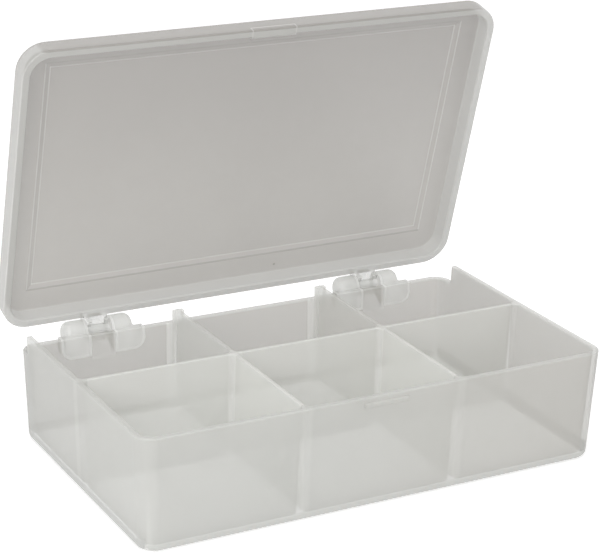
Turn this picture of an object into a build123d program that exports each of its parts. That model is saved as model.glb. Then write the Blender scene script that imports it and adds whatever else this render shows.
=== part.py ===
from build123d import *
import math
import os

# Hinged compartment box: an open tray with six compartments and a lid that snaps onto two hinge rods.
# Origin at the centre of the tray's underside, +X to the right, +Y to the hinge side, +Z up, in mm.

# Tray
tray_length = 170.0
tray_width = 103.0
tray_height = 39.2
tray_corner_radius = 6.1
tray_wall = 2.0
tray_floor = 1.6
foot_inset = 1.36
foot_edge_radius = 2.7
tray_edge_round = 0.4

# Compartments
columns = 3
rows = 2
middle_column = 54.9
divider = 1.5
divider_lean = 0.35
pocket_corner_radius = 1.6
pocket_floor_radius = 1.2

# Lowered rear edge, where the lid's rear skirt comes down
rear_drop = 6.6
side_step_from_rear = 9.5
divider_end_from_rear = 6.9
divider_post_width = 3.8
divider_post_depth = 1.6

# Lid, as it lies closed
lid_side_gap = 0.9
lid_skirt = 2.6
lid_panel = 1.6
lid_seat_gap = 0.25
lid_rim_gap = 0.8
lid_edge_radius = 1.8
lid_inner_radius = 0.8
lid_rim_round = 0.4

# Raised field in the lid's panel
field_rise = 0.8
field_slope = 1.9
field_side_margin = 10.3
field_rear_margin = 11.0
field_front_margin = 7.8

# Hinges
hinge_spacing = 108.0
hinge_gap_width = 9.0
hinge_axis_offset = 4.4
hinge_axis_drop = 0.6
knuckle_radius = 4.1
ear_width = 8.2
ear_end_round = 2.6
ear_foot_drop = 7.6
ear_belly_angle = 45.0
pad_width = 11.1
pad_depth = 1.1
pad_corner_radius = 4.0
rod_radius = 1.75
rod_running_gap = 0.08
hook_side_gap = 0.3
hook_mouth_half_angle = 55.0
hook_mouth_direction = 250.0
hook_arm = 1.9
hook_recess_height = 1.8
hook_recess_reach = 2.8
neck_height = 4.6

# Catch at the front
catch_half_width = 8.0
catch_ridge_depth = 0.6
catch_ridge_round = 0.54
catch_ridge_height = 1.8
catch_gap = 0.4
catch_bead_depth = 0.75
catch_bead_round = 0.67
catch_bead_height = 1.8
catch_bead_half_width = 8.3

# Opening of the lid, from closed to the way it stands in the box's usual open position
lid_opening = 75.2

# Places worked out from the sizes
front_face = -tray_width / 2
rear_face = tray_width / 2
rear_top = tray_height - rear_drop
axis_y = rear_face + hinge_axis_offset
axis_z = rear_top - hinge_axis_drop
hinge_centres = (-hinge_spacing / 2, hinge_spacing / 2)
hinge_axis = Axis((0, axis_y, axis_z), (1, 0, 0))
rim_z = rear_top + lid_rim_gap
panel_under = tray_height + lid_seat_gap
panel_top = panel_under + lid_panel
lid_length = tray_length + 2 * (lid_side_gap + lid_skirt)
lid_front = front_face - lid_side_gap - lid_skirt
lid_rear = rear_face
lid_inner_corner = tray_corner_radius + lid_side_gap
hook_width = hinge_gap_width - 2 * hook_side_gap
bore_radius = rod_radius + rod_running_gap


def inset_at(z):
    """How far the tray's outer face stands in from its top size at a height."""
    return foot_inset * (tray_height - z) / tray_height


def lean_at(z):
    """How far a divider's side stands out from its top thickness at a height."""
    return divider_lean * (tray_height - z) / (tray_height - tray_floor)


def rounded(x0, x1, y0, y1, z, radius):
    """A rectangle lying at height z, with rounded corners."""
    outline = RectangleRounded(x1 - x0, y1 - y0, radius)
    return Pos((x0 + x1) / 2, (y0 + y1) / 2, z) * outline


def plain(x0, x1, y0, y1, z):
    """A rectangle lying at height z, with square corners."""
    return Pos((x0 + x1) / 2, (y0 + y1) / 2, z) * Rectangle(x1 - x0, y1 - y0)


def block(x0, x1, y0, y1, z0, z1):
    """A box between two corners."""
    size = Box(x1 - x0, y1 - y0, z1 - z0, align=(Align.MIN, Align.MIN, Align.MIN))
    return Pos(x0, y0, z0) * size


def profile_along_x(face, x0, x1):
    """A profile drawn in Y and Z, drawn out from x0 to x1."""
    placed = Plane(origin=(x0, 0, 0), x_dir=(0, 1, 0), z_dir=(1, 0, 0)) * face
    return extrude(placed, amount=x1 - x0, dir=(1, 0, 0))


def edges_at(shape, z, tolerance=0.01):
    """The edges of a shape that lie flat at one height."""
    found = []
    for edge in shape.edges():
        box = edge.bounding_box()
        if abs(box.min.Z - z) < tolerance and abs(box.max.Z - z) < tolerance:
            found.append(edge)
    return found


def upright_edges(shape, height):
    """The four slanting corner edges of a block that leans in towards its foot."""
    return [edge for edge in shape.edges() if edge.bounding_box().size.Z > height / 2]


def column_edges():
    """The left and right limits of each column of compartments at the top."""
    inner = tray_length / 2 - tray_wall
    side = middle_column / 2 + divider
    return ((-inner, -side), (-middle_column / 2, middle_column / 2), (side, inner))


def row_edges():
    """The front and rear limits of each row of compartments at the top."""
    inner = tray_width / 2 - tray_wall
    return ((-inner, -divider / 2), (divider / 2, inner))


def pocket_outline(column, row, z):
    """One compartment's hollow cut level at height z, square at the corners."""
    x0, x1 = column_edges()[column]
    y0, y1 = row_edges()[row]
    wall = inset_at(z)
    web = lean_at(z)
    return plain(
        x0 + (wall if column == 0 else web),
        x1 - (wall if column == columns - 1 else web),
        y0 + (wall if row == 0 else web),
        y1 - (wall if row == rows - 1 else web),
        z,
    )


def pocket(column, row, height):
    """One compartment's hollow, wider at the top, with rounded corners and a rounded floor edge."""
    side = -1 if column == 0 else 1
    end = -1 if row == 0 else 1

    def outwards(edge):
        return side * edge.center().X + end * edge.center().Y

    above = height + tray_wall
    hollow = loft([pocket_outline(column, row, tray_floor), pocket_outline(column, row, above)])
    corners = sorted(upright_edges(hollow, height), key=outwards)
    if column in (0, columns - 1):
        hollow = fillet(corners[-1], tray_corner_radius - tray_wall)
        corners = sorted(upright_edges(hollow, height), key=outwards)[:-2]
    hollow = fillet(corners, pocket_corner_radius)
    return fillet(edges_at(hollow, tray_floor), pocket_floor_radius)


def tray_outline(z):
    """The tray's outer form cut level at height z, square at the corners."""
    half_length = tray_length / 2 - inset_at(z)
    half_width = tray_width / 2 - inset_at(z)
    return plain(-half_length, half_length, -half_width, half_width, z)


def open_tray(height):
    """The tray's six hollows in its outer form, up to a height, with the upper edges rounded."""
    body = loft([tray_outline(0), tray_outline(height)])
    body = fillet(upright_edges(body, height), tray_corner_radius)
    body = fillet(edges_at(body, 0), foot_edge_radius)
    for column in range(columns):
        for row in range(rows):
            body -= pocket(column, row, height)
    return fillet(edges_at(body, height), tray_edge_round)


def divider_end(full, centre):
    """The rear end of a long divider: full height up to a narrow post, ahead of the lowered edge."""
    end = rear_face - divider_end_from_rear
    step = rear_face - side_step_from_rear
    half = divider_post_width / 2
    blade = full & block(centre - half, centre + half, step, end, tray_floor, tray_height)
    post = block(centre - half, centre + half, end - divider_post_depth, end, tray_floor, tray_height)
    post = fillet(edges_at(post, tray_height), tray_edge_round)
    return blade + post


def hinge_ear(centre, side):
    """One ear behind the rear wall: a barrel on the hinge axis, a web to the wall, a rounded outer end."""
    inner = centre + side * hinge_gap_width / 2
    outer = inner + side * ear_width
    low = rear_top - ear_foot_drop
    root = rear_face - tray_wall / 2 - inset_at(low)
    belly = math.radians(ear_belly_angle)
    shoulder = axis_y - math.sqrt(knuckle_radius**2 - hinge_axis_drop**2)
    web = make_face(
        Polyline(
            (root, rear_top),
            (shoulder, rear_top),
            (axis_y, axis_z),
            (axis_y + knuckle_radius * math.sin(belly), axis_z - knuckle_radius * math.cos(belly)),
            (rear_face + pad_depth, low),
            (root, low),
            (root, rear_top),
        )
    )
    barrel = Pos(axis_y, axis_z) * Circle(knuckle_radius)
    ear = profile_along_x(barrel + web, min(inner, outer), max(inner, outer))
    end_face = ear.faces().sort_by(Axis.X)[-1 if side > 0 else 0]
    rim = [edge for edge in end_face.edges() if edge.center().Y > rear_face + pad_depth]
    return fillet(rim, ear_end_round)


def hinge_pad(centre, side):
    """The thickened patch of rear wall that an ear grows from."""
    inner = centre + side * hinge_gap_width / 2
    outer = inner + side * pad_width
    low = rear_top - ear_foot_drop
    root = rear_face - tray_wall / 2 - inset_at(low)
    pad = block(min(inner, outer), max(inner, outer), root, rear_face + pad_depth, low, rear_top)
    corner = pad.edges().filter_by(Axis.Y).sort_by(Axis.Z)[:2]
    corner = sorted(corner, key=lambda e: side * e.center().X)[-1:]
    return fillet(corner, pad_corner_radius)


def hinge_rod(centre):
    """The rod between the two ears, with its ends in them."""
    length = hinge_gap_width + ear_width
    return Pos(centre, axis_y, axis_z) * Rot(0, 90, 0) * Cylinder(rod_radius, length)


def catch_ridge():
    """The ridge outside the front wall, which the lid's bead snaps under."""
    low = rim_z + catch_bead_height + catch_gap
    top = low + catch_ridge_height
    wall = front_face + inset_at(low) + tray_wall / 2
    ridge = block(
        -catch_half_width, catch_half_width, front_face - catch_ridge_depth, wall, low, top
    )
    proud = ridge.edges().filter_by(Axis.X).group_by(Axis.Y)[0]
    return fillet(proud, catch_ridge_round)


def make_tray():
    """The tray moulding: six compartments, hinge ears with their rods, and the catch ridge."""
    full = open_tray(tray_height)
    low = open_tray(rear_top)
    half_length = tray_length / 2 + tray_wall
    half_width = tray_width / 2 + tray_wall
    step = rear_face - side_step_from_rear
    tray = full & block(-half_length, half_length, -half_width, step, 0, tray_height)
    tray += low & block(-half_length, half_length, step, half_width, 0, tray_height)
    long_divider = (middle_column + divider) / 2
    for centre in (-long_divider, long_divider):
        tray += divider_end(full, centre)
    for centre in hinge_centres:
        for side in (-1, 1):
            tray += hinge_ear(centre, side)
            tray += hinge_pad(centre, side)
        tray += hinge_rod(centre)
    tray += catch_ridge()
    return tray


def lid_shell():
    """The lid's panel and skirt, with rounded outer and inner edges."""
    half = lid_length / 2
    outer = rounded(-half, half, lid_front, lid_rear, rim_z, lid_inner_corner + lid_skirt)
    shell = extrude(outer, amount=panel_top - rim_z, dir=(0, 0, 1))
    shell = fillet(edges_at(shell, panel_top), lid_edge_radius)
    inner = rounded(
        -half + lid_skirt,
        half - lid_skirt,
        lid_front + lid_skirt,
        lid_rear - lid_skirt,
        rim_z,
        lid_inner_corner,
    )
    hollow = extrude(inner, amount=panel_under - rim_z, dir=(0, 0, 1))
    hollow = fillet(edges_at(hollow, panel_under), lid_inner_radius)
    shell -= hollow
    return fillet(edges_at(shell, rim_z), lid_rim_round)


def field(z):
    """The raised field's form from height z up: a low flat-topped rise with mitred corners."""
    half = lid_length / 2 - field_side_margin
    front = lid_front + field_front_margin
    rear = lid_rear - field_rear_margin
    low = plain(-half, half, front, rear, z)
    slope = field_slope
    top = plain(-half + slope, half - slope, front + slope, rear - slope, z + field_rise)
    return loft([low, top])


def lid_hook(centre):
    """A hook behind the rear skirt that snaps over a hinge rod, with two arms and a recess between."""
    half = hook_width / 2
    disc = Pos(axis_y, axis_z) * Circle(knuckle_radius)
    neck = make_face(
        Polyline(
            (lid_rear - lid_skirt / 2, rim_z),
            (axis_y, rim_z),
            (axis_y, axis_z + knuckle_radius),
            (lid_rear, rim_z + neck_height),
            (lid_rear - lid_skirt / 2, rim_z + neck_height),
            (lid_rear - lid_skirt / 2, rim_z),
        )
    )
    reach = 2 * knuckle_radius
    start = math.radians(hook_mouth_direction - hook_mouth_half_angle)
    end = math.radians(hook_mouth_direction + hook_mouth_half_angle)
    mouth = make_face(
        Polyline(
            (axis_y, axis_z),
            (axis_y + reach * math.cos(start), axis_z + reach * math.sin(start)),
            (axis_y + reach * math.cos(end), axis_z + reach * math.sin(end)),
            (axis_y, axis_z),
        )
    )
    bore = Pos(axis_y, axis_z) * Circle(bore_radius)
    section = (disc - mouth) + neck - bore
    hook = profile_along_x(section, centre - half, centre + half)
    recess = block(
        centre - half + hook_arm,
        centre + half - hook_arm,
        lid_rear,
        lid_rear + hook_recess_reach,
        axis_z - knuckle_radius,
        rim_z + hook_recess_height,
    )
    return hook - recess


def catch_bead():
    """The bead inside the front skirt's rim that snaps under the tray's ridge."""
    wall = lid_front + lid_skirt
    bead = block(
        -catch_bead_half_width,
        catch_bead_half_width,
        wall - lid_skirt / 2,
        wall + catch_bead_depth,
        rim_z,
        rim_z + catch_bead_height,
    )
    proud = bead.edges().filter_by(Axis.X).group_by(Axis.Y)[-1]
    return fillet(proud, catch_bead_round)


def make_lid():
    """The lid moulding as it lies closed, then turned open about the hinge rods."""
    lid = lid_shell()
    lid += field(panel_top)
    lid -= field(panel_under)
    for centre in hinge_centres:
        lid += lid_hook(centre)
    lid += catch_bead()
    return lid.rotate(hinge_axis, -lid_opening)


os.makedirs("parts", exist_ok=True)
export_step(make_tray(), "parts/base_tray.step")
export_step(make_lid(), "parts/lid.step")
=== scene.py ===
"""A hinged compartment box of frosted natural polypropylene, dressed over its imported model."""

import logging
import math
from dataclasses import dataclass, field, replace
from enum import Enum
from functools import cached_property

import bmesh
import bpy
from mathutils import Matrix, Vector


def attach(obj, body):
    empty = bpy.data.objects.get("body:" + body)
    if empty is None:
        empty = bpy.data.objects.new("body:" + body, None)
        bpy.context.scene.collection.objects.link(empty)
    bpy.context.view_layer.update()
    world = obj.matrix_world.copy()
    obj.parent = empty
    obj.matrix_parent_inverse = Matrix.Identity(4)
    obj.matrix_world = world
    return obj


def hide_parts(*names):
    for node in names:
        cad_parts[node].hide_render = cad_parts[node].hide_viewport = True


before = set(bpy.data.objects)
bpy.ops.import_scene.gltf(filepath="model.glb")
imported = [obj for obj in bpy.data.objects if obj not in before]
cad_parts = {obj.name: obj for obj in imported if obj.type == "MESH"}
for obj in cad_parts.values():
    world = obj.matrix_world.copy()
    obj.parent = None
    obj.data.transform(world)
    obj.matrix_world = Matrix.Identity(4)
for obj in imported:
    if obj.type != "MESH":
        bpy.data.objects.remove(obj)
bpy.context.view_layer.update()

log = logging.getLogger("compartment_box")

# Lengths are in metres, and FAR is past every face of the box.
MM = 0.001
FAR = 1.0

# How far the middle of each hinge is from the middle of the box.
HINGE_CENTRE = 54.0 * MM

# Points of a CAD mesh that are closer than WELD become one, and faces thinner than SLIVER go.
WELD = 0.002 * MM
SLIVER = 0.001 * MM

Colour = tuple[float, float, float]
Point = tuple[float, float, float]
UP: Point = (0.0, 0.0, 1.0)
ACROSS: Point = (1.0, 0.0, 0.0)
BACK: Point = (0.0, 1.0, 0.0)

# The Mix node's colour sockets go by number, since its number and vector sockets have the same names.
MIX_SHARE, MIX_FIRST, MIX_SECOND, MIX_RESULT = 0, 6, 7, 2


class Body(Enum):
    """The two moving bodies that a piece can ride on."""

    BASE = "base"
    LID = "lid"


class Slot(Enum):
    """The two finishes that the record names."""

    TRAY = "tray_polypropylene"
    LID = "lid_polypropylene"


class Run(Enum):
    """Which two sides of a rectangle a fine line follows."""

    LEVEL = "the lower and the upper side"
    UPRIGHT = "the left and the right side"


def grey(level: float) -> Colour:
    """The colour whose three parts are all at one level."""
    return level, level, level


class Value:
    """A number inside a node tree, which can be added, multiplied and clamped like any number."""

    def __init__(self, nodes: "Nodes", socket: bpy.types.NodeSocket) -> None:
        """Keeps the socket that gives the number.

        Args:
            nodes: The tree that the number belongs to.
            socket: The output socket that carries it.
        """
        self.nodes = nodes
        self.socket = socket

    def _math(self, operation: str, *others: "Value | float", clamp: bool = False) -> "Value":
        """Adds one Math node.

        Args:
            operation: The node's operation.
            others: What follows this number in it.
            clamp: Whether the result is kept between 0 and 1.

        Returns:
            The result.
        """
        settings = {"operation": operation, "use_clamp": clamp}
        inputs = dict(enumerate((self, *others)))
        return self.nodes.value("ShaderNodeMath", settings, inputs)

    def __add__(self, other: "Value | float") -> "Value":
        """This number plus another."""
        return self._math("ADD", other)

    def __radd__(self, other: float) -> "Value":
        """A plain number plus this one."""
        return self._math("ADD", other)

    def __sub__(self, other: "Value | float") -> "Value":
        """This number less another."""
        return self._math("SUBTRACT", other)

    def __rsub__(self, other: float) -> "Value":
        """A plain number less this one."""
        return (self * -1.0) + other

    def __mul__(self, other: "Value | float") -> "Value":
        """This number times another."""
        return self._math("MULTIPLY", other)

    def __rmul__(self, other: float) -> "Value":
        """A plain number times this one."""
        return self._math("MULTIPLY", other)

    def ramp(self, low: float, high: float) -> "Value":
        """How far this number has come from low to high, eased, from 0 to 1.

        Args:
            low: Where the rise starts.
            high: Where it ends.

        Returns:
            The eased share.
        """
        settings = {"interpolation_type": "SMOOTHSTEP"}
        inputs = {"Value": self, "From Min": low, "From Max": high}
        return self.nodes.value("ShaderNodeMapRange", settings, inputs)

    def size(self) -> "Value":
        """This number without its sign."""
        return self._math("ABSOLUTE")

    def larger(self, other: "Value | float") -> "Value":
        """The larger of this number and another."""
        return self._math("MAXIMUM", other)

    def root(self) -> "Value":
        """The square root of this number."""
        return self._math("SQRT")

    def at_most_one(self) -> "Value":
        """This number kept between 0 and 1."""
        return self._math("ADD", 0.0, clamp=True)


class Nodes:
    """A node tree under construction, with a single way to add any node."""

    def __init__(self, tree: bpy.types.NodeTree) -> None:
        """Empties the tree that is to be filled.

        Args:
            tree: The tree.
        """
        self.tree = tree
        self.tree.nodes.clear()

    def node(
        self,
        kind: str,
        settings: dict[str, object] | None = None,
        inputs: dict[str | int, object] | None = None,
    ) -> bpy.types.Node:
        """Adds a node, sets its choices first and then its sockets.

        Args:
            kind: The node's type.
            settings: The node's own choices, such as an operation.
            inputs: Values, or links, by socket name or number.

        Returns:
            The node.
        """
        made = self.tree.nodes.new(kind)
        for key, value in (settings or {}).items():
            setattr(made, key, value)
        for key, value in (inputs or {}).items():
            if isinstance(value, Value):
                value = value.socket
            if isinstance(value, bpy.types.NodeSocket):
                self.tree.links.new(value, made.inputs[key])
            else:
                made.inputs[key].default_value = value
        return made

    def value(
        self,
        kind: str,
        settings: dict[str, object] | None = None,
        inputs: dict[str | int, object] | None = None,
        output: int | str = 0,
    ) -> Value:
        """Adds a node and gives its result as a number.

        Args:
            kind: The node's type.
            settings: The node's own choices.
            inputs: Values, or links, by socket name or number.
            output: Which output is wanted.

        Returns:
            The number.
        """
        return Value(self, self.node(kind, settings, inputs).outputs[output])


class Shade(Nodes):
    """One material under construction."""

    def __init__(self, name: str) -> None:
        """Starts an empty material.

        Args:
            name: The material's name.
        """
        self.material = bpy.data.materials.new(name)
        self.material.use_nodes = True
        super().__init__(self.material.node_tree)

    @cached_property
    def place(self) -> bpy.types.NodeSocket:
        """The point on the piece, in metres."""
        return self.node("ShaderNodeTexCoord").outputs["Object"]

    def along(self, direction: Point) -> Value:
        """How far the point on the piece lies along a direction.

        Args:
            direction: The direction.

        Returns:
            The distance in metres.
        """
        inputs = {0: self.place, 1: direction}
        return self.value("ShaderNodeVectorMath", {"operation": "DOT_PRODUCT"}, inputs, "Value")

    def away(self, centre: Point) -> Value:
        """How far the point on the piece lies from another point.

        Args:
            centre: The other point.

        Returns:
            The distance in metres.
        """
        inputs = {0: self.place, 1: centre}
        return self.value("ShaderNodeVectorMath", {"operation": "DISTANCE"}, inputs, "Value")

    def blend(
        self,
        share: Value,
        first: Colour | bpy.types.NodeSocket,
        second: Colour,
    ) -> bpy.types.NodeSocket:
        """Goes from one colour to another.

        Args:
            share: How much of the second colour shows.
            first: The colour at 0, or a socket with it.
            second: The colour at 1.

        Returns:
            The socket with the mixed colour.
        """
        if not isinstance(first, bpy.types.NodeSocket):
            first = (*first, 1.0)
        settings = {"data_type": "RGBA", "blend_type": "MIX"}
        inputs = {MIX_SHARE: share, MIX_FIRST: first, MIX_SECOND: (*second, 1.0)}
        return self.node("ShaderNodeMix", settings, inputs).outputs[MIX_RESULT]

    def finish(self, shader: bpy.types.Node) -> bpy.types.Material:
        """Ends the material in a shader.

        Args:
            shader: The shader node.

        Returns:
            The finished material.
        """
        self.node("ShaderNodeOutputMaterial", None, {"Surface": shader.outputs[0]})
        return self.material


def seen(nodes: Nodes) -> Value:
    """Whether a ray comes from the camera, a reflection or a clear piece.

    Args:
        nodes: The tree that asks.

    Returns:
        The number 1 for such a ray, and 0 for one that only lights.
    """
    rays = nodes.node("ShaderNodeLightPath").outputs
    direct = Value(nodes, rays["Is Camera Ray"]) + Value(nodes, rays["Is Glossy Ray"])
    return (direct + Value(nodes, rays["Is Transmission Ray"])).at_most_one()


@dataclass(frozen=True)
class Milk:
    """How milky the plastic looks in one place, painted light and shade among them: its colour and how
    much it hides.
    """

    colour: Colour
    alpha: float


@dataclass(frozen=True)
class Zone:
    """A layer of space between two distances along a direction.

    With a pair, the distances are counted from two planes, each that far from the box's middle.
    """

    direction: Point
    low: float = -FAR
    high: float = FAR
    pair: float | None = None
    blur: float = 0.2 * MM

    def distance(self, shade: Shade) -> Value:
        """How far a point lies along the direction, or from the nearer plane of the pair.

        Args:
            shade: The material.

        Returns:
            The distance in metres.
        """
        reach = shade.along(self.direction)
        if self.pair is None:
            return reach
        return (reach.size() - self.pair).size() if self.pair else reach.size()

    def share(self, shade: Shade, inset: float = 0.0) -> Value:
        """Whether a point lies in the layer, with soft faces.

        Args:
            shade: The material.
            inset: How much thinner the layer is on each face.

        Returns:
            A number from 0, outside, to 1, inside.
        """
        reach = self.distance(shade)
        low, high = self.low + inset, self.high - inset
        if self.high == FAR:
            return reach.ramp(low - self.blur, low + self.blur)
        inside = 1.0 - reach.ramp(high - self.blur, high + self.blur)
        if self.low == -FAR:
            return inside
        return inside * reach.ramp(low - self.blur, low + self.blur)


@dataclass(frozen=True)
class Patch:
    """A place where the plastic looks milkier or clearer than on its plain faces, or where light and
    shade are painted.

    It lies where all its zones meet. With an outline, only a rim of that width shows.
    """

    milk: Milk
    zones: tuple[Zone, ...] = ()
    strength: float = 1.0
    outline: float = 0.0

    def share(self, shade: Shade) -> Value:
        """How much of the patch shows at a point.

        Args:
            shade: The material.

        Returns:
            A number from 0 to 1.
        """
        whole = self._within(shade, 0.0)
        return whole - self._within(shade, self.outline) if self.outline else whole

    def _within(self, shade: Shade, inset: float) -> Value:
        """Whether a point lies in every zone.

        Args:
            shade: The material.
            inset: How much smaller the place is on each side.

        Returns:
            A number from 0 to 1.
        """
        inside: Value | float = 1.0
        for zone in self.zones:
            inside = zone.share(shade, inset) * inside
        return inside


@dataclass(frozen=True)
class HingePad(Patch):
    """The thick foot of a hinge ear, seen through the rear wall that it grows from.

    Inner and outer are its sides' distances from the hinge's middle, and low is its lower edge.
    """

    inner: float = 4.5 * MM
    outer: float = 15.6 * MM
    low: float = 25.0 * MM
    corner: float = 4.0 * MM
    blur: float = 0.15 * MM

    def _within(self, shade: Shade, inset: float) -> Value:
        """Whether a point lies on one of the four pads, which are rounded at their lower outer corners.

        Args:
            shade: The material.
            inset: How much smaller the pad is on each side.

        Returns:
            A number from 0 to 1.
        """
        off = (shade.along(ACROSS).size() - HINGE_CENTRE).size()
        beside = (off - (self.outer - self.corner)).larger(0.0)
        below = (self.low + self.corner - shade.along(UP)).larger(0.0)
        far = (beside * beside + below * below).root()
        radius, inner = self.corner - inset, self.inner + inset
        inside = 1.0 - far.ramp(radius - self.blur, radius + self.blur)
        inside = inside * off.ramp(inner - self.blur, inner + self.blur)
        for zone in self.zones:
            inside = inside * zone.share(shade)
        return inside


@dataclass(frozen=True)
class Rectangle:
    """A rectangle on the open lid's panel, with its middle at that distance upwards."""

    upwards: Point = UP
    middle: float = 0.0
    half_length: float = 0.0
    half_height: float = 0.0

    def shrunk(self, margin: float) -> "Rectangle":
        """The same rectangle with every side moved inwards.

        Args:
            margin: How far each side moves.

        Returns:
            The smaller rectangle.
        """
        half_length, half_height = self.half_length - margin, self.half_height - margin
        return replace(self, half_length=half_length, half_height=half_height)


@dataclass(frozen=True)
class FieldLine(Patch):
    """A fine line along two sides of a rectangle on the lid's panel, where its raised field bends,
    painted light with a pale colour and painted shade with a dark one.
    """

    rectangle: Rectangle = Rectangle()
    run: Run = Run.UPRIGHT
    half_width: float = 0.32 * MM
    core: float = 0.3

    def share(self, shade: Shade) -> Value:
        """The two level lines, or the two upright ones.

        Args:
            shade: The material.

        Returns:
            A number from 0 to 1.
        """
        beside = shade.along(ACROSS).size() - self.rectangle.half_length
        above = shade.along(self.rectangle.upwards) - self.rectangle.middle
        above = above.size() - self.rectangle.half_height
        off, other = (above, beside) if self.run is Run.LEVEL else (beside, above)
        line = 1.0 - off.size().ramp(self.core * self.half_width, self.half_width)
        return line * (1.0 - other.ramp(0.0, self.half_width))


@dataclass(frozen=True)
class Speck(Patch):
    """A small dark speck, such as the scar of the gate that the plastic came in through."""

    centre: Point = (0.0, 0.0, 0.0)
    radius: float = 0.6 * MM
    core: float = 0.4

    def share(self, shade: Shade) -> Value:
        """The ball round the speck's middle.

        Args:
            shade: The material.

        Returns:
            A number from 0 to 1.
        """
        return 1.0 - shade.away(self.centre).ramp(self.core * self.radius, self.radius)


@dataclass(frozen=True)
class Clouds:
    """Soft random patches in the plastic, all of about one size."""

    size: float
    detail: float
    span: tuple[float, float] | None = None
    layering: float = 0.55

    def share(self, shade: Shade) -> Value:
        """How strong the patches are at a point.

        Args:
            shade: The material.

        Returns:
            A number around one half, or one that goes from 0 to 1 over the span, if there is one.
        """
        inputs = {
            "Vector": shade.place,
            "Scale": 1.0 / self.size,
            "Detail": self.detail,
            "Roughness": self.layering,
        }
        plain = shade.value("ShaderNodeTexNoise", {"noise_dimensions": "3D"}, inputs, "Fac")
        return plain.ramp(*self.span) if self.span else plain


@dataclass(frozen=True)
class FrostedPlastic:
    """Frosted natural polypropylene: milky and satin, a little cloudy, milkier where it is thick, with
    painted light and shade in places.
    """

    name: str
    plain: Milk
    cloudy: Colour
    roughness: float = 0.35
    index: float = 1.49
    gloss: float = 0.9
    flow: Clouds = Clouds(size=42 * MM, detail=2.0, span=(0.35, 0.65))
    flow_part: float = 0.75
    mottle: Clouds = Clouds(size=5 * MM, detail=3.0, span=(0.3, 0.7))
    mottle_polish: float = 0.03
    handled: Clouds = Clouds(size=11 * MM, detail=4.0, span=(0.45, 0.75))
    handled_wear: float = 0.06
    grain: Clouds = Clouds(size=0.35 * MM, detail=2.0)
    grain_height: float = 0.35
    waves: Clouds = Clouds(size=9 * MM, detail=1.0)
    wave_height: float = 0.5
    relief: float = 0.08 * MM
    relief_strength: float = 0.22

    def material(self, patches: tuple[Patch, ...]) -> bpy.types.Material:
        """Builds the material.

        Args:
            patches: The places that look different, the topmost last.

        Returns:
            The material.
        """
        shade = Shade(self.name)
        flow, mottle = self.flow.share(shade), self.mottle.share(shade)
        cloud = (self.flow_part * flow + (1.0 - self.flow_part) * mottle).at_most_one()
        colour = shade.blend(cloud, self.plain.colour, self.cloudy)
        alpha: Value | float = self.plain.alpha
        for patch in patches:
            share = patch.share(shade) * patch.strength
            colour = shade.blend(share, colour, patch.milk.colour)
            alpha = alpha + (patch.milk.alpha - alpha) * share
        wear = self.handled_wear * self.handled.share(shade)
        height = self.grain.share(shade) * self.grain_height + self.waves.share(shade) * self.wave_height
        bump = shade.node("ShaderNodeBump", None, {
            "Strength": self.relief_strength,
            "Distance": self.relief,
            "Height": height,
        })
        return shade.finish(shade.node("ShaderNodeBsdfPrincipled", None, {
            "Base Color": colour,
            "Roughness": self.roughness + wear - self.mottle_polish * mottle,
            "IOR": self.index,
            "Alpha": alpha,
            "Specular IOR Level": self.gloss,
            "Normal": bump.outputs["Normal"],
        }))


@dataclass(frozen=True)
class PaleFloor:
    """The floor's finish: pale and matt, with a glow where it is seen that melts it into the white."""

    name: str = "white floor"
    level: float = 0.86
    glow: float = 0.44
    roughness: float = 0.9

    def material(self) -> bpy.types.Material:
        """Builds the material.

        Returns:
            The material.
        """
        shade = Shade(self.name)
        glow = shade.blend(seen(shade), grey(0.0), grey(self.glow))
        return shade.finish(shade.node("ShaderNodeBsdfPrincipled", None, {
            "Base Color": (*grey(self.level), 1.0),
            "Roughness": self.roughness,
            "Emission Color": glow,
            "Emission Strength": 1.0,
            "Specular IOR Level": 0.0,
        }))


def smooth_copy(node: str, name: str, crisp: float) -> bpy.types.Object:
    """A merged copy of a CAD solid with smooth fillets and crisp corners.

    Args:
        node: The CAD node that is copied.
        name: The new piece's name.
        crisp: The angle, in degrees, from which an edge stays crisp.

    Returns:
        The new piece, at the origin.
    """
    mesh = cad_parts[node].data.copy()
    mesh.name = name
    mesh.materials.clear()
    mesh.attributes.remove(mesh.attributes["custom_normal"])
    work = bmesh.new()
    work.from_mesh(mesh)
    bmesh.ops.remove_doubles(work, verts=work.verts, dist=WELD)
    bmesh.ops.dissolve_degenerate(work, dist=SLIVER, edges=work.edges)
    limit = math.radians(crisp)
    for face in work.faces:
        face.smooth = True
    for edge in work.edges:
        edge.smooth = len(edge.link_faces) == 2 and edge.calc_face_angle(math.pi) < limit
    work.to_mesh(mesh)
    work.free()
    piece = bpy.data.objects.new(name, mesh)
    bpy.context.scene.collection.objects.link(piece)
    flat = piece.modifiers.new("flat faces stay flat", "WEIGHTED_NORMAL")
    flat.keep_sharp = True
    return piece


def dress(piece: bpy.types.Object, material: bpy.types.Material, body: Body) -> None:
    """Gives a piece its finish and the body that it moves with.

    Args:
        piece: The piece.
        material: Its finish.
        body: The body that it rides on.
    """
    piece.data.materials.clear()
    piece.data.materials.append(material)
    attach(piece, body.value)


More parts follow.
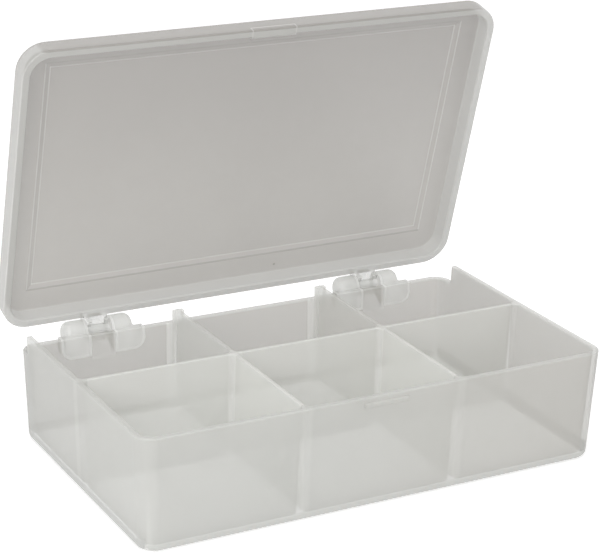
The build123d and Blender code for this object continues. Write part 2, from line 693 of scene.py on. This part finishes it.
@dataclass
class EjectorMarks:
    """The faint raised rings that ejector pins leave on the floors of the compartments."""

    columns: int = 3
    rows: int = 2
    column_pitch: float = 55.975 * MM
    row_pitch: float = 50.25 * MM
    radius: float = 3.0 * MM
    bead: float = 0.09 * MM
    floor: float = 1.6 * MM
    ring_points: int = 48
    bead_points: int = 10

    def build(self, material: bpy.types.Material) -> bpy.types.Object:
        """Makes the rings and turns them into one plain mesh.

        Args:
            material: The rings' finish.

        Returns:
            The rings as one piece.
        """
        sizes = {
            "Columns": (self.columns, "NodeSocketInt"),
            "Rows": (self.rows, "NodeSocketInt"),
            "Width": (self.column_pitch * (self.columns - 1), "NodeSocketFloat"),
            "Depth": (self.row_pitch * (self.rows - 1), "NodeSocketFloat"),
            "Radius": (self.radius, "NodeSocketFloat"),
            "Bead": (self.bead, "NodeSocketFloat"),
            "Floor": (self.floor, "NodeSocketFloat"),
        }
        tree = bpy.data.node_groups.new("ejector_marks", "GeometryNodeTree")
        tree.interface.new_socket("Geometry", in_out="OUTPUT", socket_type="NodeSocketGeometry")
        names = {}
        for title, (_, kind) in sizes.items():
            names[title] = tree.interface.new_socket(title, in_out="INPUT", socket_type=kind).identifier
        self._repeat(Nodes(tree), material)
        piece = bpy.data.objects.new("ejector_marks", bpy.data.meshes.new("ejector_marks"))
        bpy.context.scene.collection.objects.link(piece)
        modifier = piece.modifiers.new("marks", "NODES")
        modifier.node_group = tree
        for title, (size, _) in sizes.items():
            modifier[names[title]] = size
        bpy.context.view_layer.update()
        finished = piece.evaluated_get(bpy.context.evaluated_depsgraph_get())
        plain = bpy.data.meshes.new_from_object(finished)
        piece.modifiers.remove(modifier)
        piece.data = plain
        return piece

    def _repeat(self, nodes: Nodes, material: bpy.types.Material) -> None:
        """Repeats one ring over the grid of compartments.

        Args:
            nodes: The tree, which already has its named inputs.
            material: The rings' finish.
        """
        given = nodes.node("NodeGroupInput").outputs
        grid = nodes.node("GeometryNodeMeshGrid", None, {
            "Vertices X": given["Columns"],
            "Vertices Y": given["Rows"],
            "Size X": given["Width"],
            "Size Y": given["Depth"],
        })
        circle = "GeometryNodeCurvePrimitiveCircle"
        ring = nodes.node(circle, None, {"Resolution": self.ring_points, "Radius": given["Radius"]})
        profile = nodes.node(circle, None, {"Resolution": self.bead_points, "Radius": given["Bead"]})
        tube = nodes.node("GeometryNodeCurveToMesh", None, {
            "Curve": ring.outputs["Curve"],
            "Profile Curve": profile.outputs["Curve"],
        })
        copies = nodes.node("GeometryNodeInstanceOnPoints", None, {
            "Points": grid.outputs["Mesh"],
            "Instance": tube.outputs["Mesh"],
        })
        lift = nodes.node("ShaderNodeCombineXYZ", None, {"Z": given["Floor"]})
        last = nodes.node("GeometryNodeTransform", None, {
            "Geometry": copies.outputs["Instances"],
            "Translation": lift.outputs["Vector"],
        })
        for kind, inputs in (
            ("GeometryNodeRealizeInstances", {}),
            ("GeometryNodeSetShadeSmooth", {}),
            ("GeometryNodeSetMaterial", {"Material": material}),
            ("NodeGroupOutput", {}),
        ):
            last = nodes.node(kind, None, {"Geometry": last.outputs["Geometry"], **inputs})


@dataclass
class Tray:
    """The tray moulding: six compartments, hinge ears and rods, and the catch ridge.

    The ends are the short walls, left and right, and the sides are the long ones, front and rear.
    For each, wall is where the wall starts, inside is short of it and of its rounded foot, and
    outside takes in its outer face alone.
    """

    height: float = 39.2 * MM
    rear_height: float = 32.6 * MM
    rear_step: float = 42.0 * MM
    edge_depth: float = 0.6 * MM
    crisp: float = 28.0
    end_wall: float = 81.0 * MM
    end_inside: float = 80.0 * MM
    end_outside: float = 82.2 * MM
    side_wall: float = 47.6 * MM
    side_inside: float = 46.5 * MM
    side_outside: float = 48.6 * MM
    corner_start: float = 81.2 * MM
    # Where the painted shade towards the right side is half on, and how far it spreads.
    right_side_shade_middle: float = 20.0 * MM
    right_side_shade_spread: float = 60.0 * MM
    speck_place: Point = (-36.28 * MM, -50.9 * MM, 10.95 * MM)
    divider_place: float = 28.2 * MM
    join_half: float = 1.5 * MM
    crossing_half: float = 2.5 * MM
    post_front: float = 42.9 * MM
    post_back: float = 49.6 * MM
    post_half: float = 2.0 * MM
    underside_top: float = 0.5 * MM
    floor_bottom: float = 0.9 * MM
    floor_top: float = 1.75 * MM
    walls_bottom: float = 1.9 * MM
    fillet_top: float = 2.7 * MM
    side_foot: float = 3.2 * MM
    end_foot: float = 4.3 * MM
    hinge_gap_half: float = 4.4 * MM
    pocket_bottom: float = 24.0 * MM
    pocket_back: float = 51.4 * MM
    ears_front: float = 51.8 * MM
    pad_highlight_width: float = 0.9 * MM
    finish: FrostedPlastic = FrostedPlastic(
        name="tray frosted polypropylene",
        plain=Milk((0.885, 0.89, 0.86), 0.37),
        cloudy=(0.91, 0.915, 0.885),
    )
    wall: Milk = Milk((0.68, 0.68, 0.65), 0.48)
    # Painted shade: the rear wall, and all behind it, darker and browner.
    rear: Milk = Milk((0.56, 0.54, 0.505), 0.5)
    # Painted shade: the right end wall darker than the left one.
    right_end_shade: Milk = Milk((0.605, 0.59, 0.555), 0.54)
    pad: Milk = Milk((0.83, 0.835, 0.81), 0.62)
    ear: Milk = Milk((0.68, 0.685, 0.66), 0.48)
    # Milkier where the plastic is thick, where dividers join; also used for painted highlights along the
    # floors' rounded edges and round the hinge pads.
    thick: Milk = Milk((0.93, 0.935, 0.915), 0.8)
    column: Milk = Milk((0.93, 0.935, 0.91), 0.6)
    # Painted light: the dividers' faces in the front half of the tray lighter.
    front_half_light: Milk = Milk((0.99, 0.995, 0.96), 0.45)
    # Painted highlight: the rims' top edges lighter.
    edge: Milk = Milk((0.82, 0.825, 0.795), 0.42)
    rod: Milk = Milk((0.86, 0.865, 0.84), 0.4)
    # Painted shade: the right side a little darker and browner.
    right_side_shade: Milk = Milk((0.72, 0.675, 0.62), 0.48)
    # Painted shade: darker strips on the front right and rear left corners.
    corner: Milk = Milk((0.56, 0.555, 0.53), 0.85)
    rear_corner_shade: Milk = Milk((0.60, 0.60, 0.575), 0.8)
    base: Milk = Milk((0.84, 0.845, 0.815), 0.43)
    underside: Milk = Milk((0.86, 0.865, 0.835), 0.2)
    # Painted shade: the rounded foot darker along the sides, and darker still at the ends.
    side_foot_shade: Milk = Milk((0.60, 0.605, 0.575), 0.85)
    end_foot_shade: Milk = Milk((0.47, 0.475, 0.455), 0.85)
    # Painted light: the rear wall between the hinge ears lighter and less clear, over the shaded pocket
    # behind it.
    painted_pocket_light: Milk = Milk((0.70, 0.69, 0.66), 0.6)
    dust: Milk = Milk((0.20, 0.19, 0.17), 0.9)
    marks: EjectorMarks = field(default_factory=EjectorMarks)

    def build(self) -> tuple[bpy.types.Object, ...]:
        """Makes the moulding and the marks on its floors.

        Returns:
            The two pieces.
        """
        patches = self._walls() + self._dividers() + self._floors() + self._hinges()
        material = self.finish.material(patches)
        shell = smooth_copy("base_tray", "tray_moulding", self.crisp)
        dress(shell, material, Body.BASE)
        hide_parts("base_tray")
        rings = self.marks.build(material)
        dress(rings, material, Body.BASE)
        return shell, rings

    def _walls(self) -> tuple[Patch, ...]:
        """The outer walls, which look less milky than the dividers inside, with painted shade on the rear
        wall, the right end, the right side and two corners, and painted highlights on their rims.

        Returns:
            The patches, the topmost last.
        """
        ends = Zone(ACROSS, low=self.end_wall, pair=0.0)
        sides = Zone(BACK, low=self.side_wall, pair=0.0)
        front = Zone(BACK, high=-self.side_inside, blur=0.8 * MM)
        back = Zone(BACK, low=self.side_inside, blur=0.8 * MM)
        right = Zone(ACROSS, low=self.corner_start, blur=0.4 * MM)
        left = Zone(ACROSS, high=-self.end_inside, blur=0.8 * MM)
        rim = Zone(UP, low=self.height - self.edge_depth)
        rear_rim = Zone(UP, low=self.rear_height - self.edge_depth)
        return (
            Patch(self.wall, (ends,)),
            Patch(self.wall, (sides,)),
            # Painted shade on the rear wall.
            Patch(self.rear, (Zone(BACK, low=self.side_wall),)),
            Patch(self.ear, (Zone(BACK, low=self.ears_front, blur=0.3 * MM),)),
            # Painted shade towards the right side.
            Patch(self.right_side_shade, (Zone(ACROSS, low=self.right_side_shade_middle, blur=self.right_side_shade_spread),), strength=0.3),
            # Painted shade on the right end wall.
            Patch(self.right_end_shade, (Zone(ACROSS, low=self.end_wall, blur=0.4 * MM),)),
            # Painted shade on the front right and rear left corners.
            Patch(self.corner, (right, front), strength=0.9),
            Patch(self.rear_corner_shade, (left, back), strength=0.9),
            # Painted highlights along the rims' top edges.
            Patch(self.edge, (rim,), strength=0.6),
            Patch(self.edge, (rear_rim, Zone(BACK, low=self.rear_step)), strength=0.6),
            Speck(self.dust, strength=0.5, centre=self.speck_place),
        )

    def _dividers(self) -> tuple[Patch, ...]:
        """Painted light on the dividers' front halves, where dividers meet the walls and each other, and
        the posts where two of them end at the rear.

        Returns:
            The patches, the topmost last.
        """
        above_floor = Zone(UP, low=self.walls_bottom)
        inside = Zone(ACROSS, high=self.end_wall, pair=0.0)
        before_middle = Zone(BACK, low=-self.side_wall, high=0.0, blur=0.1 * MM)
        across = Zone(ACROSS, high=self.join_half, pair=self.divider_place, blur=0.9 * MM)
        along = Zone(BACK, high=self.join_half, pair=0.0, blur=0.9 * MM)
        crossing = (
            Zone(ACROSS, high=self.crossing_half, pair=self.divider_place, blur=0.5 * MM),
            Zone(BACK, high=self.crossing_half, pair=0.0, blur=0.5 * MM),
        )
        post = (
            Zone(ACROSS, high=self.post_half, pair=self.divider_place),
            Zone(BACK, low=self.post_front, high=self.post_back),
        )
        return (
            # Painted light on the dividers' front halves.
            Patch(self.front_half_light, (inside, before_middle, above_floor)),
            Patch(self.thick, (across, Zone(BACK, low=self.side_wall, pair=0.0)), strength=0.10),
            Patch(self.thick, (along, Zone(ACROSS, low=self.end_wall, pair=0.0)), strength=0.10),
            Patch(self.thick, (*crossing, above_floor), strength=0.25),
            Patch(self.column, (*post, above_floor), strength=0.65),
        )

    def _floors(self) -> tuple[Patch, ...]:
        """The compartments' floors, a painted highlight along the rounded edges round them, and painted
        shade on the tray's rounded foot.

        Returns:
            The patches, the topmost last.
        """
        inside = (
            Zone(ACROSS, high=self.end_outside, pair=0.0),
            Zone(BACK, high=self.side_outside, pair=0.0),
        )
        middle = (
            Zone(ACROSS, high=self.end_inside, pair=0.0),
            Zone(BACK, high=self.side_inside, pair=0.0),
        )
        floor = Zone(UP, low=self.floor_bottom, high=self.floor_top, blur=0.08 * MM)
        fillet = Zone(UP, low=self.floor_top, high=self.fillet_top, blur=0.08 * MM)
        end_low = Zone(UP, high=self.end_foot, blur=0.4 * MM)
        side_low = Zone(UP, high=self.side_foot, blur=0.25 * MM)
        return (
            Patch(self.base, (*inside, floor)),
            Patch(self.underside, (Zone(UP, high=self.underside_top),)),
            # Painted highlight along the floors' rounded edges.
            Patch(self.thick, (*middle, fillet), strength=0.8),
            # Painted shade on the rounded foot.
            Patch(self.end_foot_shade, (Zone(ACROSS, low=self.end_outside, pair=0.0), end_low), strength=0.9),
            Patch(self.side_foot_shade, (Zone(BACK, low=self.side_outside, pair=0.0), side_low), strength=0.9),
        )

    def _hinges(self) -> tuple[Patch, ...]:
        """The hinge ears' feet on the rear wall, with a painted highlight round their edges, painted
        light on the wall between them over the shaded pocket behind it, and the rods.

        Returns:
            The patches, the topmost last.
        """
        gap = Zone(ACROSS, high=self.hinge_gap_half, pair=HINGE_CENTRE)
        wall = Zone(BACK, low=self.side_wall, high=self.pocket_back)
        rear = Zone(BACK, low=self.side_wall)
        upper = Zone(UP, low=self.pocket_bottom, high=self.rear_height - self.edge_depth, blur=0.8 * MM)
        return (
            # Painted light on the wall between the hinge ears, over the shaded pocket.
            Patch(self.painted_pocket_light, (gap, wall, upper), strength=0.8),
            Patch(self.rod, (gap, Zone(BACK, low=self.ears_front))),
            HingePad(self.pad, (rear,), strength=0.8),
            # Painted highlight round the edges of the hinge pads.
            HingePad(self.thick, (rear,), strength=0.6, outline=self.pad_highlight_width),
        )


@dataclass
class Lid:
    """The lid moulding: panel, skirt, raised field, snap hooks and catch bead.

    Seat is the middle of its hinge edge, at the rim, as the lid stands open. Rises are counted from
    the hinge edge towards the front edge, and depths from the rim towards the panel. The middle and
    the spread of the painted shade towards its front edge are shares of its width.
    """

    lean: float = 14.8
    length: float = 177.0 * MM
    width: float = 106.5 * MM
    seat: Point = (0.0, 56.13 * MM, 36.61 * MM)
    depth: float = 6.05 * MM
    edge_depth: float = 0.6 * MM
    crisp: float = 20.0
    front_shade_middle: float = 0.6
    front_shade_spread: float = 0.4
    field_side_margin: float = 10.3 * MM
    field_front_margin: float = 7.8 * MM
    field_rear_margin: float = 11.0 * MM
    field_slope: float = 1.9 * MM
    painted_shade_line_half: float = 0.45 * MM
    scar_across: float = 18.0 * MM
    scar_rise: float = 5.76 * MM
    scar_radius: float = 0.7 * MM
    skirt_depth: float = 5.85 * MM
    front_edge: float = 0.5 * MM
    root_half: float = 4.3 * MM
    root_rise: float = 2.2 * MM
    root_depth: float = 2.7 * MM
    bead_half: float = 8.4 * MM
    bead_drop: float = 3.7 * MM
    bead_depth: float = 2.1 * MM
    bead_highlight_width: float = 0.45 * MM
    hook_top: float = 36.4 * MM
    finish: FrostedPlastic = FrostedPlastic(
        name="lid frosted polypropylene",
        plain=Milk((0.505, 0.48, 0.443), 0.56),
        cloudy=(0.53, 0.505, 0.467),
    )
    # Painted light: the skirt, with its shaded inner walls, lighter than the panel.
    skirt: Milk = Milk((0.57, 0.567, 0.54), 0.56)
    # Painted shade: darker towards the open lid's front edge, and on the upward face of that edge.
    clear: Milk = Milk((0.33, 0.305, 0.276), 0.56)
    # Painted highlight: the light lines along the raised field's bends and round the catch bead; it also
    # lightens the snap hooks' roots.
    line: Milk = Milk((0.80, 0.79, 0.765), 0.7)
    # Painted shade: the dark lines along the raised field's lower and upper bends.
    painted_shade_line: Milk = Milk((0.27, 0.25, 0.225), 0.62)
    # Milkier where the plastic is thick, used here for a painted highlight along the rim.
    thick: Milk = Milk((0.86, 0.855, 0.835), 0.8)
    hook: Milk = Milk((0.84, 0.845, 0.82), 0.34)
    dust: Milk = Milk((0.12, 0.11, 0.10), 0.9)

    def build(self) -> tuple[bpy.types.Object, ...]:
        """Makes the moulding.

        Returns:
            The piece.
        """
        material = self.finish.material(self._panel() + self._edges())
        shell = smooth_copy("lid", "lid_moulding", self.crisp)
        dress(shell, material, Body.LID)
        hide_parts("lid")
        return (shell,)

    def _out(self) -> Point:
        """The direction that the open lid's rim faces."""
        lean = math.radians(self.lean)
        return 0.0, -math.cos(lean), -math.sin(lean)

    def _rise(self) -> Point:
        """The direction from the open lid's hinge edge to its front edge."""
        lean = math.radians(self.lean)
        return 0.0, -math.sin(lean), math.cos(lean)

    def _seat_along(self, direction: Point) -> float:
        """How far the seat lies along a direction."""
        return sum(a * b for a, b in zip(self.seat, direction))

    def _panel(self) -> tuple[Patch, ...]:
        """The panel, with painted shade towards the front, its raised field's lines painted as highlights
        and shade, and the gate's scar.

        Returns:
            The patches, the topmost last.
        """
        rise, out = self._rise(), self._out()
        foot = self._seat_along(rise)
        low, high = foot + self.field_rear_margin, foot + self.width - self.field_front_margin
        outer = Rectangle(
            upwards=rise,
            middle=(low + high) / 2,
            half_length=self.length / 2 - self.field_side_margin,
            half_height=(high - low) / 2,
        )
        inner = outer.shrunk(self.field_slope)
        front = Zone(rise, low=foot + self.front_shade_middle * self.width, blur=self.front_shade_spread * self.width)
        scar = tuple(s + self.scar_rise * r - self.depth * o for s, r, o in zip(self.seat, rise, out))
        return (
            # Painted shade towards the front edge.
            Patch(self.clear, (front,), strength=0.9),
            # Painted highlights along the field's bends, and painted shade along its lower and upper
            # outer bends.
            FieldLine(self.line, strength=0.42, rectangle=outer),
            FieldLine(self.line, strength=0.42, rectangle=inner),
            FieldLine(
                self.painted_shade_line,
                strength=0.7,
                rectangle=outer,
                run=Run.LEVEL,
                half_width=self.painted_shade_line_half,
            ),
            FieldLine(self.line, strength=0.35, rectangle=inner, run=Run.LEVEL),
            Speck(self.dust, strength=0.8, centre=(self.scar_across, *scar[1:]), radius=self.scar_radius),
        )

    def _edges(self) -> tuple[Patch, ...]:
        """The skirt with painted light, its rim with a painted highlight, painted shade on the front
        edge's upward face, the roots of the snap hooks, a painted highlight round the catch bead, and the
        hooks.

        Returns:
            The patches, the topmost last.
        """
        rise, out = self._rise(), self._out()
        foot, rim = self._seat_along(rise), self._seat_along(out)
        top = foot + self.width
        root = (
            Zone(ACROSS, high=self.root_half, pair=HINGE_CENTRE),
            Zone(rise, high=foot + self.root_rise, blur=0.4 * MM),
            Zone(out, low=rim - self.root_depth),
        )
        bead = (
            Zone(ACROSS, high=self.bead_half, pair=0.0),
            Zone(rise, low=top - self.bead_drop),
            Zone(out, low=rim - self.bead_depth),
        )
        return (
            # Painted light on the skirt.
            Patch(self.skirt, (Zone(out, low=rim - self.skirt_depth),), strength=0.95),
            # Painted highlight along the rim.
            Patch(self.thick, (Zone(out, low=rim - self.edge_depth, blur=0.3 * MM),), strength=0.25),
            # Painted shade on the upward face of the front edge, which the lamp above lights.
            Patch(self.clear, (Zone(rise, low=top - self.front_edge, blur=0.3 * MM),), strength=0.8),
            Patch(self.line, root, strength=0.22),
            # Painted highlight round the catch bead.
            Patch(self.line, bead, strength=0.4, outline=self.bead_highlight_width),
            Patch(self.hook, (Zone(UP, high=self.hook_top, blur=0.4 * MM),)),
        )


@dataclass(frozen=True)
class Lamp:
    """A square soft lamp that looks at the box, with its sizes in metres and its power in watts."""

    name: str
    place: Point
    side: float
    power: float
    aim: Point = (0.0, 0.0, 0.05)

    def build(self) -> None:
        """Hangs the lamp, out of the camera's sight."""
        lamp = bpy.data.lights.new(self.name, "AREA")
        lamp.shape = "SQUARE"
        lamp.size = self.side
        lamp.energy = self.power
        thing = bpy.data.objects.new(self.name, lamp)
        thing.location = self.place
        beam = Vector(self.aim) - Vector(self.place)
        thing.rotation_euler = beam.to_track_quat("-Z", "Y").to_euler()
        thing.visible_camera = False
        bpy.context.scene.collection.objects.link(thing)


@dataclass
class Studio:
    """A white floor and background, a soft key lamp in front, a lamp above and the camera.

    The floor lies a hair below the tray's underside, since two faces at one level flicker.
    """

    floor_side: float = 6.0
    floor_level: float = -0.05 * MM
    floor_finish: PaleFloor = PaleFloor()
    daylight: float = 0.65
    key: Lamp = Lamp("key", place=(-0.44, -0.36, 0.30), side=0.3, power=1.14)
    top: Lamp = Lamp("top", place=(-0.1, -0.3, 1.4), side=1.0, power=4.0)
    lens: float = 124.14
    sensor: float = 36.0
    nearest: float = 10.0 * MM
    camera_place: Point = (-314.62 * MM, -565.58 * MM, 297.15 * MM)
    azimuth: float = -28.757
    elevation: float = 19.999
    roll: float = 1.435

    def build(self) -> None:
        """Makes the floor, the light and the camera."""
        self._world()
        self._floor()
        self.key.build()
        self.top.build()
        self._camera()
        bpy.context.scene.view_settings.view_transform = "Standard"

    def _world(self) -> None:
        """White where it is seen or mirrored, a plain level where it only lights."""
        world = bpy.data.worlds.new("white room")
        bpy.context.scene.world = world
        world.use_nodes = True
        nodes = Nodes(world.node_tree)
        strength = self.daylight + (1.0 - self.daylight) * seen(nodes)
        inputs = {"Color": (*grey(1.0), 1.0), "Strength": strength}
        background = nodes.node("ShaderNodeBackground", None, inputs)
        nodes.node("ShaderNodeOutputWorld", None, {"Surface": background.outputs[0]})

    def _floor(self) -> None:
        """A pale floor that melts into the white background and keeps the shadow."""
        half, level = self.floor_side / 2, self.floor_level
        mesh = bpy.data.meshes.new("floor")
        corners = [(-half, -half, level), (half, -half, level), (half, half, level), (-half, half, level)]
        mesh.from_pydata(corners, [], [(0, 1, 2, 3)])
        mesh.materials.append(self.floor_finish.material())
        floor = bpy.data.objects.new("floor", mesh)
        bpy.context.scene.collection.objects.link(floor)

    def _camera(self) -> None:
        """The camera at the photograph's angle."""
        side, rise, roll = (math.radians(v) for v in (self.azimuth, self.elevation, self.roll))
        back = Vector((math.sin(side) * math.cos(rise), -math.cos(side) * math.cos(rise), math.sin(rise)))
        level = Vector(UP).cross(back).normalized()
        plumb = back.cross(level)
        right = level * math.cos(roll) + plumb * math.sin(roll)
        up = plumb * math.cos(roll) - level * math.sin(roll)
        lens = bpy.data.cameras.new("camera")
        lens.lens = self.lens
        lens.sensor_width = self.sensor
        lens.clip_start = self.nearest
        thing = bpy.data.objects.new("camera", lens)
        turn = Matrix((right, up, back)).transposed().to_4x4()
        thing.matrix_world = Matrix.Translation(Vector(self.camera_place)) @ turn
        bpy.context.scene.collection.objects.link(thing)
        bpy.context.scene.camera = thing


def main() -> None:
    """Builds the box and the studio, reports each piece and keeps both boxes."""
    logging.basicConfig(level=logging.INFO, format="%(name)s: %(message)s")
    for assembly in (Tray(), Lid()):
        for piece in assembly.build():
            finish = piece.data.materials[0].name
            log.info("%s has %s faces in %s", piece.name, len(piece.data.polygons), finish)
    Studio().build()


if __name__ == "__main__":
    main()
